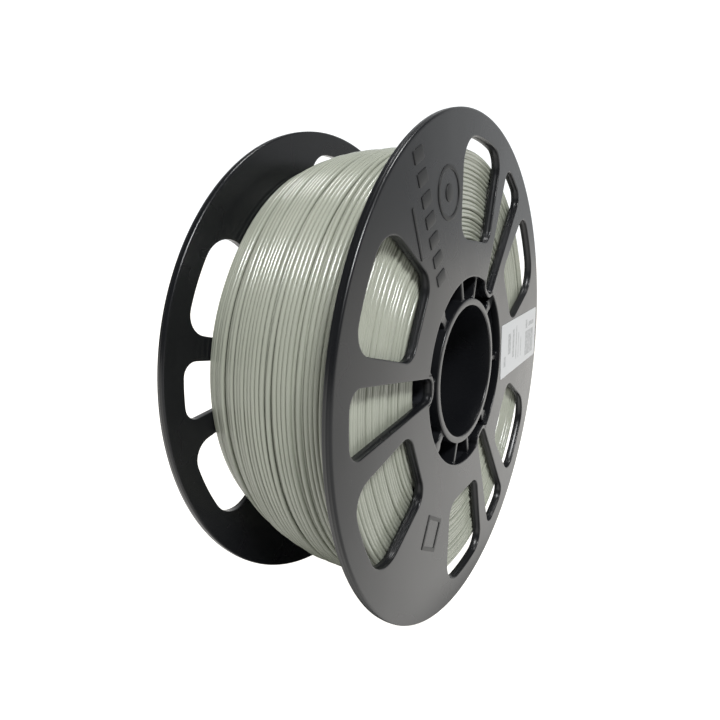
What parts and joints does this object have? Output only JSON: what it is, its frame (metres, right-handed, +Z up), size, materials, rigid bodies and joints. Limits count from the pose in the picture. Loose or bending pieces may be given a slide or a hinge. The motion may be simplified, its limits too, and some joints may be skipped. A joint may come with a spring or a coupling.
{
  "type": "filament spool",
  "caption": "Wide spool of wound plastic filament: two windowed disc flanges on a hollow webbed hub with a smooth round bore for a holder's spindle.",
  "frame": {"origin": "centre of the bore, midway between the two flanges' outer faces", "axes": "+X along the bore towards the labelled flange, +Z up as the spool stands on its rims, +Y towards the label"},
  "size_m": [0.0722, 0.2, 0.2],
  "materials": {
    "shell": "satin moulded, charcoal",
    "marks": "satin moulded, charcoal",
    "filament": "semi-gloss drawn strand, warm light grey",
    "label": "coated white sticker"
  },
  "bodies": {
    "root": {"front_flange": "shell", "front_drum": "shell", "front_sleeve": "shell", "front_webs": "shell", "front_pockets": "shell", "front_tongue": "shell", "front_marks": "marks", "back_flange": "shell", "back_drum": "shell", "back_sleeve": "shell", "back_webs": "shell", "back_pockets": "shell", "back_tongue": "shell", "filament": "filament", "label": "label"}
  },
  "joints": []
}
